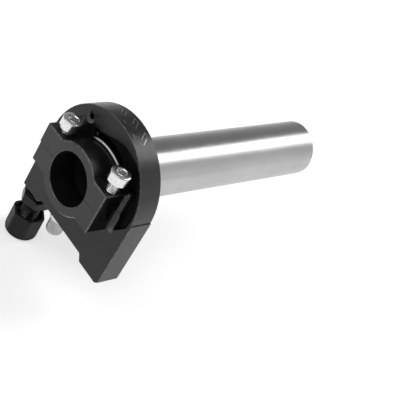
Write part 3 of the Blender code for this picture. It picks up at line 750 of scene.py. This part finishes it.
def split_faces(bm, marked, faces, place, normal):
    """Cut the given faces along a plane, and return the faces they have become."""
    for face in faces:
        face[marked] = 1
    edges = {edge for face in faces for edge in face.edges}
    corners = {corner for face in faces for corner in face.verts}
    geometry = list(faces) + list(edges) + list(corners)
    bmesh.ops.bisect_plane(bm, geom=geometry, plane_co=[value * MM for value in place], plane_no=normal)
    faces = [face for face in bm.faces if face[marked] == 1]
    for face in faces:
        face[marked] = 0
    return faces


def mark_flat_faces(body):
    """Materials for the inboard face, painted shade; the rear rim's ledge and the strip beside the rear ear,
    a painted highlight; and the rear ear's side, smoother with painted shade.
    """
    bm = bmesh.new()
    bm.from_mesh(body.data)
    marked = bm.faces.layers.int.new("marked")
    face_x, side_y = DISC_START * MM, -EAR_REAR * MM
    near = NEAR_FACE * MM
    flat = [face for face in bm.faces if face.normal.x < -0.99]
    flat = [face for face in flat if abs(face.calc_center_median().x - face_x) < near]
    flat = split_faces(bm, marked, flat, (0.0, -LAND_OUTER, 0.0), (0.0, 1.0, 0.0))
    flat = split_faces(bm, marked, flat, (0.0, -EAR_REAR, 0.0), (0.0, 1.0, 0.0))
    flat = split_faces(bm, marked, flat, (0.0, 0.0, EAR_BOTTOM_REAR), (0.0, 0.0, 1.0))
    for face in flat:
        middle = face.calc_center_median() / MM
        in_strip = -LAND_OUTER < middle.y < -EAR_REAR and EAR_BOTTOM_REAR < middle.z < EAR_TOP
        # painted highlight on the strip, painted shade on the rest of the inboard face
        face.material_index = PAINTED_HIGHLIGHT if in_strip else INBOARD
    ledge = [face for face in bm.faces if face.normal.z > 0.99]
    ledge = [face for face in ledge if abs(face.calc_center_median().z - LOWER_FACE * MM) < near / 2]
    for face in split_faces(bm, marked, ledge, (0.0, -DISC_R, 0.0), (0.0, 1.0, 0.0)):
        if face.calc_center_median().y < -DISC_R * MM:
            # painted highlight on the ledge over the rear rim
            face.material_index = PAINTED_HIGHLIGHT
    side = [face for face in bm.faces if face.normal.y < -0.99]
    side = [face for face in side if abs(face.calc_center_median().y - side_y) < near]
    for face in split_faces(bm, marked, side, (LAND_START, 0.0, 0.0), (1.0, 0.0, 0.0)):
        # painted highlight on the strip's part of the side, painted shade on the ear's side
        face.material_index = PAINTED_HIGHLIGHT if face.calc_center_median().x > LAND_START * MM else SIDE
    bm.faces.layers.int.remove(marked)
    bm.to_mesh(body.data)
    bm.free()


def mark_edges(body):
    """Machined edges get the rubbed-edge material with a painted highlight; then the flat faces with
    materials of their own are marked.
    """
    for face in body.data.polygons:
        lean = abs(face.normal.x)
        x, y, _ = face.center / MM
        to_screw = min(math.hypot(x - SCREW_X, y - side) for side in (-SCREW_SIDE, SCREW_SIDE))
        in_screw_hole = to_screw < SCREW_CLEAR and abs(face.normal.z) < 0.5
        if 0.12 < lean < 0.985 and not in_screw_hole:
            # rubbed wear with a painted highlight on the edge faces
            face.material_index = WORN_AND_HIGHLIGHT
    mark_flat_faces(body)


def paint_engraving(body):
    """The floors of the engraved lines show bare metal."""
    for face in body.data.polygons:
        across, up = -face.center.y / MM, face.center.z / MM
        inside = DISC_R - MARK_DEPTH * 1.4 < math.hypot(across, up) < DISC_R - 0.03
        along = math.degrees(math.atan2(up, across))
        near = abs(along - MARK_ANGLE) < MARK_SPACING * MARKS / 2 + 3.0
        if inside and near and DISC_START + 1.0 < face.center.x / MM < DISC_END - 1.0:
            face.material_index = ENGRAVED


# ---------------------------------------------------------------- screws
def socket_cutters(centre, face, radius, depth, outwards=1.0):
    """Hexagon socket with a drilled point, and the chamfer at its mouth."""
    hexagon = [
        (0.0, face + outwards), (radius, face + outwards), (radius, face - depth * outwards),
        (0.0, face - (depth + radius * 0.3) * outwards),
    ]
    mouth = radius * 0.97
    chamfer = [
        (0.0, face + outwards), (mouth + 1.4, face + outwards), (mouth - 0.2, face - 0.35 * outwards),
        (0.0, face - 0.35 * outwards),
    ]
    return (
        lathe("socket", hexagon, centre, "Z", 6),
        lathe("socket_mouth", chamfer, centre, "Z", 64),
    )


def clamp_screw(name, side):
    """M5 socket head screw with a real thread, its head where the CAD node's is."""
    low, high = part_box(name.removesuffix("_m5"))
    top, tip = high.z / MM, low.z / MM
    seat = top - SCREW_HEAD_H
    head = soften([
        (0.0, top), (SCREW_HEAD_R, top, 0.6), (SCREW_HEAD_R, seat, 0.3), (SCREW_SHANK_R, seat, 0.2),
        (SCREW_SHANK_R, seat - 0.35),
    ])
    thread = thread_rows(SCREW_SHANK_R, SCREW_THREAD, seat - 0.4, tip + 0.7, SCREW_PITCH)
    profile = head + thread + [(SCREW_SHANK_R - 0.1, tip + 0.6), (SCREW_SHANK_R - 0.7, tip), (0.0, tip)]
    centre = (SCREW_X, -side, 0.0)
    screw = lathe(name, profile, centre, "Z", 64, pitch=SCREW_PITCH)
    combine(screw, *socket_cutters(centre, top, SOCKET_R, SOCKET_DEPTH))
    return even_normals(screw)


def drum_screw_centre(name):
    low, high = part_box(name)
    return 0.0, (low.y + high.y) / 2 / MM, (low.z + high.z) / 2 / MM


def drum_screw(name):
    """Countersunk screw in the flange, its socket towards the free end."""
    low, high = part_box(name)
    face, tip = high.x / MM, low.x / MM
    centre = drum_screw_centre(name)
    head_r = (high.z - low.z) / 2 / MM
    profile = [(0.0, face), (head_r - 0.08, face), (head_r, face - 0.08), (0.95, face - 0.95)]
    profile += thread_rows(0.95, 0.16, face - 1.1, tip + 0.2, 0.4, 6) + [(0.75, tip), (0.0, tip)]
    screw = lathe(name + "_countersunk", profile, centre, "X", 48, pitch=0.4)
    socket = lathe("socket", [(0.0, face + 1.0), (0.85, face + 1.0), (0.85, face - 0.7), (0.0, face - 0.9)],
                   centre, "X", 6)
    return even_normals(combine(screw, socket))


def stop_screw():
    low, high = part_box("stop_screw")
    end, tip = low.z / MM, high.z / MM
    centre = ((low.x + high.x) / 2 / MM, (low.y + high.y) / 2 / MM, 0.0)
    head_r = (high.x - low.x) / 2 / MM
    shoulder = FLOOR_RELIEF - 1.9
    thread = thread_rows(2.4, 0.35, tip - 5.3, shoulder + 0.4, 0.7)
    profile = [(0.0, tip), (1.5, tip), (1.7, tip - 0.2), (1.7, tip - 4.7), (2.35, tip - 5.25)] + thread
    profile += soften([
        (2.4, shoulder + 0.3), (2.4, shoulder, 0.15), (head_r, shoulder, 0.25), (head_r, end, 1.9),
        (0.0, end),
    ], 7)
    screw = lathe("stop_screw_domed", profile, centre, "Z", 72, pitch=0.7)
    combine(screw, *socket_cutters(centre, end, 1.45, 1.8, -1.0))
    return even_normals(screw)


def washer(name, node, inner, along="Z", rounding=0.12):
    """A flat ring where the CAD node is, its edges broken."""
    low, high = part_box(node)
    axis = "xyz".index(along.lower())
    start, end = low[axis] / MM, high[axis] / MM
    centre = [(low[index] + high[index]) / 2 / MM for index in range(3)]
    centre[axis] = 0.0
    other = (axis + 1) % 3
    outer = (high[other] - low[other]) / 2 / MM
    profile = soften([
        (inner, start, rounding), (outer, start, rounding), (outer, end, rounding), (inner, end, rounding),
    ], 3)
    return even_normals(lathe(name, profile, centre, along, 96))


# ---------------------------------------------------------------- moving grip
def throttle_tube():
    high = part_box("drum_screw_1")[1]
    flange_end = high.x / MM + 0.1
    flange_start = flange_end - 1.7
    profile = soften([
        (TUBE_BORE_R, TUBE_START, 0.25), (TUBE_R, TUBE_START, 0.2), (TUBE_R, flange_start, 0.2),
        (FLANGE_R, flange_start, 0.2), (FLANGE_R, flange_end, 0.2), (TUBE_R, flange_end, 0.4),
        (TUBE_R, TUBE_END, 0.3), (TUBE_BORE_R, TUBE_END, 0.4),
    ])
    outside = [index for index, point in enumerate(profile) if point[0] > TUBE_BORE_R + 0.05]
    first, last = outside[0], outside[-1]
    wall = profile[first:last + 1]
    long_run = [(TUBE_R, flange_end + 3.0 + step * 2.0) for step in range(58)]
    split = max(index for index, point in enumerate(wall) if point[1] < flange_end + 1.0) + 1
    profile = profile[:first] + wall[:split] + long_run + wall[split:] + profile[last + 1:]
    tube = lathe("throttle_tube_turned", profile, segments=192)
    holes = []
    for index in range(3):
        centre = drum_screw_centre(f"drum_screw_{index + 1}")
        sink = [
            (0.0, flange_end + 1.0), (3.1, flange_end + 1.0), (1.2, flange_end - 1.0),
            (1.2, flange_start - 1.0),
            (0.0, flange_start - 1.0),
        ]
        holes.append(lathe("sink", sink, centre, "X", 48))
    combine(tube, *holes)
    # the bore's faces take the tube's second material, painted shade for the inside of the tube
    for face in tube.data.polygons:
        reach = math.hypot(face.center.y, face.center.z) / MM
        if reach < TUBE_BORE_R + 0.02:
            face.material_index = 1
    return even_normals(tube)


def cable_drum():
    low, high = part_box("cable_drum")
    start, end = low.x / MM, high.x / MM
    hub = TUBE_R + 0.2
    profile = soften([
        (hub, start, 0.2), (15.0, start, 0.2), (15.0, 17.8, 0.2), (17.4, 17.8, 0.2), (17.4, start, 0.2),
        (DRUM_R, start, 0.3), (DRUM_R, GROOVE_X - 1.4, 0.2), (GROOVE_R, GROOVE_X - 1.0, 0.8),
        (GROOVE_R, GROOVE_X + 1.0, 0.5), (DRUM_R - 0.6, end, 0.15), (hub, end, 0.2),
    ])
    drum = lathe("cable_drum_turned", profile, segments=180)
    across, up = polar(NIPPLE_SEAT_R, NIPPLE_ANGLE)
    seat = [(0.0, start - 1.0), (NIPPLE_POCKET_R + 1.3, start - 1.0), (NIPPLE_POCKET_R, start + 0.3)]
    seat += [(NIPPLE_POCKET_R, end + 1.0), (0.0, end + 1.0)]
    stop_from = math.degrees(math.atan2(-24.0, -6.6)) % 360.0 - 6.0
    stop_slot = arc(DRUM_R + 2.0, stop_from, stop_from + 87.0) + arc(21.0, stop_from + 87.0, stop_from)
    leg = SPRING_LEG_ANGLE % 360.0
    leg_slot = arc(LEG_SLOT_R, leg - 4.0, leg + 79.0) + arc(16.9, leg + 79.0, leg - 4.0)
    combine(
        drum, lathe("seat", seat, (0.0, -across, up), "X", 64),
        slab("stop_slot", stop_slot, start - 1.0, end + 1.0, 0.0, 0.0),
        slab("leg_slot", leg_slot, start - 1.0, 17.5, 0.0, 0.0),
    )
    tapped = [(0.0, end + 1.0), (1.2, end + 1.0), (1.2, start + 0.9), (0.0, start + 0.9)]
    holes = []
    for index in range(3):
        centre = drum_screw_centre(f"drum_screw_{index + 1}")
        holes.append(lathe("tapped", tapped, centre, "X", 32))
    combine(drum, *holes)
    return even_normals(drum)


# ---------------------------------------------------------------- return spring
def spring_place(degrees):
    """How far along the bar the wire is at an angle of the winding, eased between a few known places."""
    knots = [
        (130.0, 11.25), (118.0, 11.3), (95.0, 11.5), (75.0, 12.0), (58.0, 12.9), (44.0, 14.3), (0.0, 15.0),
        (SPRING_LEG_ANGLE, 15.9), (SPRING_LEG_ANGLE - 40.0, 15.95),
    ]
    for index in range(1, len(knots) - 2):
        if knots[index][0] >= degrees >= knots[index + 1][0]:
            break
    before, here, after, later = knots[index - 1:index + 3]
    width = here[0] - after[0]
    share = (here[0] - degrees) / width
    slope_here = (after[1] - before[1]) / (before[0] - after[0]) * width
    slope_after = (later[1] - here[1]) / (here[0] - later[0]) * width
    cube, square = share ** 3, share ** 2
    return (
        (2 * cube - 3 * square + 1) * here[1] + (cube - 2 * square + share) * slope_here
        + (3 * square - 2 * cube) * after[1] + (cube - square) * slope_after
    )


def sweep(name, route, radii, sides=16):
    """A round wire along a route of mm points, with its radius at each."""
    bm = bmesh.new()
    points = [Vector(point) for point in route]
    tangents = []
    for index in range(len(points)):
        tangents.append((points[min(index + 1, len(points) - 1)] - points[max(index - 1, 0)]).normalized())
    normal = Vector((1.0, 0.0, 0.0))
    rings = []
    for point, tangent, radius in zip(points, tangents, radii):
        normal = (normal - tangent * normal.dot(tangent)).normalized()
        side = tangent.cross(normal)
        ring = []
        for index in range(sides):
            angle = math.tau * index / sides
            spoke = normal * math.cos(angle) + side * math.sin(angle)
            ring.append(bm.verts.new((point + spoke * radius) * MM))
        rings.append(ring)
    for ring, following in zip(rings, rings[1:]):
        for index in range(sides):
            after = (index + 1) % sides
            bm.faces.new((ring[index], ring[after], following[after], following[index]))
    bm.faces.new(rings[0])
    bm.faces.new(rings[-1])
    return add_object(name, bm, 50.0)


def return_spring():
    route = []
    radii = []
    tip, leg, step = 118.0, SPRING_LEG_ANGLE, 2.0
    for index in range(round((tip - leg) / step) + 1):
        degrees = tip - step * index
        across, up = polar(SPRING_R, degrees)
        route.append((spring_place(degrees), -across, up))
        radii.append(SPRING_WIRE_R * min(1.0, 0.45 + index * 0.14))
    for radius in (16.6, 17.2, SPRING_LEG_R):
        across, up = polar(radius, leg - 0.6)
        route.append((spring_place(leg), -across, up))
        radii.append(SPRING_WIRE_R)
    return sweep("return_spring_wire", route, radii)


# ---------------------------------------------------------------- cable adjuster
def adjuster_screw():
    low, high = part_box("adjuster_screw")
    top, bottom = high.z / MM, low.z / MM
    bore = 1.5
    profile = [(bore, top - 0.2), (bore + 0.2, top), (STUD_R - 0.7, top), (STUD_R - 0.1, top - 0.6)]
    profile += thread_rows(STUD_R, STUD_THREAD, top - 0.7, bottom + 0.2, STUD_PITCH, 10)
    profile += [(STUD_R - 0.3, bottom), (bore, bottom)]
    return even_normals(lathe("adjuster_stud", profile, ADJUSTER_AXIS, "Z", 72, pitch=STUD_PITCH))


def hexagon_limit(across_flats, faces, chamfer):
    """Holds a turned blank in to six flats, and to a chamfer cone near both faces."""
    def limit(angle, place):
        turn = (angle - math.radians(NUT_TURN - 30.0)) % math.radians(60.0) - math.radians(30.0)
        flat = across_flats / 2 / math.cos(turn)
        depth = min(abs(place - faces[0]), abs(place - faces[1]))
        return min(flat, across_flats / 2 - 0.15 + depth / math.tan(math.radians(chamfer)))
    return limit


def lock_nut():
    low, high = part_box("lock_nut")
    top, bottom = high.z / MM, low.z / MM
    corner = NUT_FLATS / 2 / math.cos(math.radians(30.0)) - 0.12
    hole = STUD_R + 0.3
    shares = (0.0, 0.04, 0.08, 0.12, 0.16, 0.2, 0.5, 0.8, 0.84, 0.88, 0.92, 0.96)
    rows = [top - (top - bottom) * share for share in shares] + [bottom]
    profile = [(hole, top - 0.5), (hole + 0.5, top)] + [(corner, row) for row in rows]
    profile += [(hole + 0.5, bottom), (hole, bottom + 0.5)]
    limit = hexagon_limit(NUT_FLATS, (top, bottom), 30.0)
    return even_normals(lathe("lock_nut_hexagon", profile, ADJUSTER_AXIS, "Z", 180, limit, smooth=25.0))


def knob_limit(end):
    """Six shallow flats that run down the knob's side."""
    def limit(angle, place):
        turn = (angle % math.radians(60.0)) - math.radians(30.0)
        ease = min(1.0, max(0.0, place - end))
        return (KNOB_R - KNOB_FLAT_DEPTH) / math.cos(turn) + (1.0 - ease) * 0.9
    return limit


def adjuster_knob():
    low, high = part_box("adjuster_knob")
    top, end = high.z / MM, low.z / MM
    mouth_floor = top - KNOB_MOUTH_DEPTH
    grip_floor = top - STUD_GRIP - 0.3
    outer = soften([
        (KNOB_MOUTH_R, mouth_floor, 0.5), (KNOB_MOUTH_R, top, 0.15), (KNOB_R, top, 0.25),
        (KNOB_R, end, KNOB_NOSE), (3.7, end, 0.25), (3.7, FERRULE_TOP + 0.2, 0.1), (1.5, FERRULE_TOP + 0.2),
        (1.5, grip_floor), (STUD_R + 0.3, grip_floor), (STUD_R + 0.3, mouth_floor, 0.2),
    ], 6)
    rows = []
    for here, after in zip(outer, outer[1:] + outer[:1]):
        rows.append(here)
        count = math.ceil(math.dist(here, after) / 0.6) if here[0] > 6.0 and after[0] > 6.0 else 1
        for step in range(1, count):
            share = step / count
            rows.append((here[0] + (after[0] - here[0]) * share, here[1] + (after[1] - here[1]) * share))
    knob = lathe("adjuster_grip", rows, ADJUSTER_AXIS, "Z", 180, knob_limit(end), smooth=40.0)
    return even_normals(knob)


def ferrule_cup():
    low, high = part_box("ferrule_cup")
    top, bottom = high.z / MM, low.z / MM
    profile = soften([
        (1.5, top, 0.1), (3.4, top, 0.15), (3.4, bottom, 0.15), (2.8, bottom, 0.15), (2.8, top - 1.0, 0.2),
        (1.5, top - 1.0, 0.1),
    ])
    return even_normals(lathe("ferrule_seat", profile, ADJUSTER_AXIS, "Z", 72))


# ---------------------------------------------------------------- studio
def studio():
    bm = bmesh.new()
    bmesh.ops.create_grid(bm, x_segments=2, y_segments=2, size=3.0)
    floor = add_object("floor", bm)
    floor.location = (0.0, 0.0, cad_box[0].z - 0.02 * MM)
    surface = Surface("pale_floor", 0.0, 0.8, Specular_IOR_Level=0.1, Emission_Strength=FLOOR_GLOW)
    surface.shader.inputs["Emission Color"].default_value = (1.0, 1.0, 1.0, 1.0)
    surface.tint(surface.noise(60.0), (0.79, 0.79, 0.79), (0.82, 0.82, 0.82))
    floor.data.materials.append(surface.material)

    world = bpy.data.worlds.new("studio")
    bpy.context.scene.world = world
    world.use_nodes = True
    nodes, links = world.node_tree.nodes, world.node_tree.links
    direction = nodes.new("ShaderNodeTexCoord").outputs["Generated"]
    parts = nodes.new("ShaderNodeSeparateXYZ")
    ramp = nodes.new("ShaderNodeValToRGB")
    ramp.color_ramp.elements[0].position = 0.05
    ramp.color_ramp.elements[0].color = (*[WALLS] * 3, 1.0)
    ramp.color_ramp.elements[1].position = 0.5
    ramp.color_ramp.elements[1].color = (*[CEILING] * 3, 1.0)
    links.new(direction, parts.inputs["Vector"])
    links.new(parts.outputs["Z"], ramp.inputs["Fac"])
    links.new(ramp.outputs["Color"], nodes["Background"].inputs["Color"])

    for name, across, turn, half_turn, depth, radiance in SOFTBOXES:
        softbox(name, across, turn, half_turn, depth, radiance)


def softbox(name, across, turn, half_turn, depth, radiance):
    """A soft rectangular light, one metre away.

    across is its direction's share along the bar, and turn its angle round the bar, from the rear up over
    the top. It spans half_turn degrees to each side, and is depth metres the other way.
    """
    ring = math.sqrt(1.0 - across * across)
    angle = math.radians(turn)
    away = Vector((across, -ring * math.cos(angle), ring * math.sin(angle)))
    tangent = Vector((0.0, math.sin(angle), math.cos(angle)))
    light = bpy.data.lights.new(name, "AREA")
    light.shape = "RECTANGLE"
    light.size = 2 * ring * math.tan(math.radians(half_turn))
    light.size_y = depth
    light.energy = radiance * math.pi * light.size * light.size_y
    lamp = bpy.data.objects.new(name, light)
    bpy.context.scene.collection.objects.link(lamp)
    rows = Matrix((tangent, away.cross(tangent), away)).transposed()
    lamp.matrix_world = Matrix.Translation(away + Vector((0.03, 0.0, 0.0))) @ rows.to_4x4()


def camera():
    data = bpy.data.cameras.new("camera")
    data.sensor_width = 36.0
    data.lens = CAMERA_LENS
    data.clip_start = 0.01
    data.clip_end = 20.0
    eye = bpy.data.objects.new("camera", data)
    bpy.context.scene.collection.objects.link(eye)
    right = Vector(CAMERA_RIGHT).normalized()
    up = Vector(CAMERA_UP)
    up = (up - right * up.dot(right)).normalized()
    back = right.cross(up)
    turn = Matrix((right, up, back)).transposed().to_4x4()
    eye.matrix_world = Matrix.Translation(Vector(CAMERA_AT) * MM) @ turn
    bpy.context.scene.camera = eye


def main():
    bpy.context.scene.view_settings.view_transform = "Standard"
    anodised = black_anodised()
    zinc = bright_zinc()
    oxide = black_oxide()
    # housing coats: rubbed edges with painted highlight, painted highlight on strip and ledge, engraving,
    # inboard face with painted shade, smoother rear ear side with painted shade
    coats = (anodised, worn_edge_and_painted_highlight(), painted_highlight_anodising(), engraved_metal(), face_anodised_painted_shade(), side_smooth_painted_shade())
    place_piece(housing_upper(), "housing", coats, "black_anodised", "housing_upper")
    place_piece(housing_lower(), "housing", coats, "black_anodised", "housing_lower")
    for name, side in (("clamp_screw_front", -SCREW_SIDE), ("clamp_screw_rear", SCREW_SIDE)):
        place_piece(clamp_screw(name + "_m5", side), "housing", zinc, "bright_steel", name)
    place_piece(return_spring(), "housing", spring_wire(), "spring_steel", "return_spring")
    place_piece(stop_screw(), "housing", domed_zinc(), "bright_steel", "stop_screw")
    collar = washer("stop_screw_collar", "stop_screw_nut", 2.7)
    place_piece(collar, "housing", zinc, "bright_steel", "stop_screw_nut")
    thrust = washer("thrust_washer_ring", "thrust_washer", TUBE_R + 0.4, "X", 0.08)
    place_piece(thrust, "housing", white_nylon(), "white_nylon", "thrust_washer")
    # the tube's second material is painted shade on its bore
    place_piece(throttle_tube(), "grip", (bare_aluminium(), tube_bore_painted_shade()), "bare_aluminium", "throttle_tube")
    # the drum's near-black colour is painted shade
    place_piece(cable_drum(), "grip", drum_painted_shade(), "black_anodised", "cable_drum")
    for index in range(3):
        name = f"drum_screw_{index + 1}"
        place_piece(drum_screw(name), "grip", oxide, "spring_steel", name)
    place_piece(adjuster_screw(), "adjuster", stud_steel(), "black_steel", "adjuster_screw")
    place_piece(adjuster_knob(), "adjuster", black_plastic(), "black_plastic", "adjuster_knob")
    place_piece(ferrule_cup(), "adjuster_slider", spring_wire(), "spring_steel", "ferrule_cup")
    place_piece(lock_nut(), "nut", oxide, "black_steel", "lock_nut")
    ring = washer("lock_washer_ring", "lock_washer", STUD_R + 0.3, "Z", 0.1)
    place_piece(ring, "nut_slider", oxide, "black_steel", "lock_washer")
    studio()
    camera()


main()
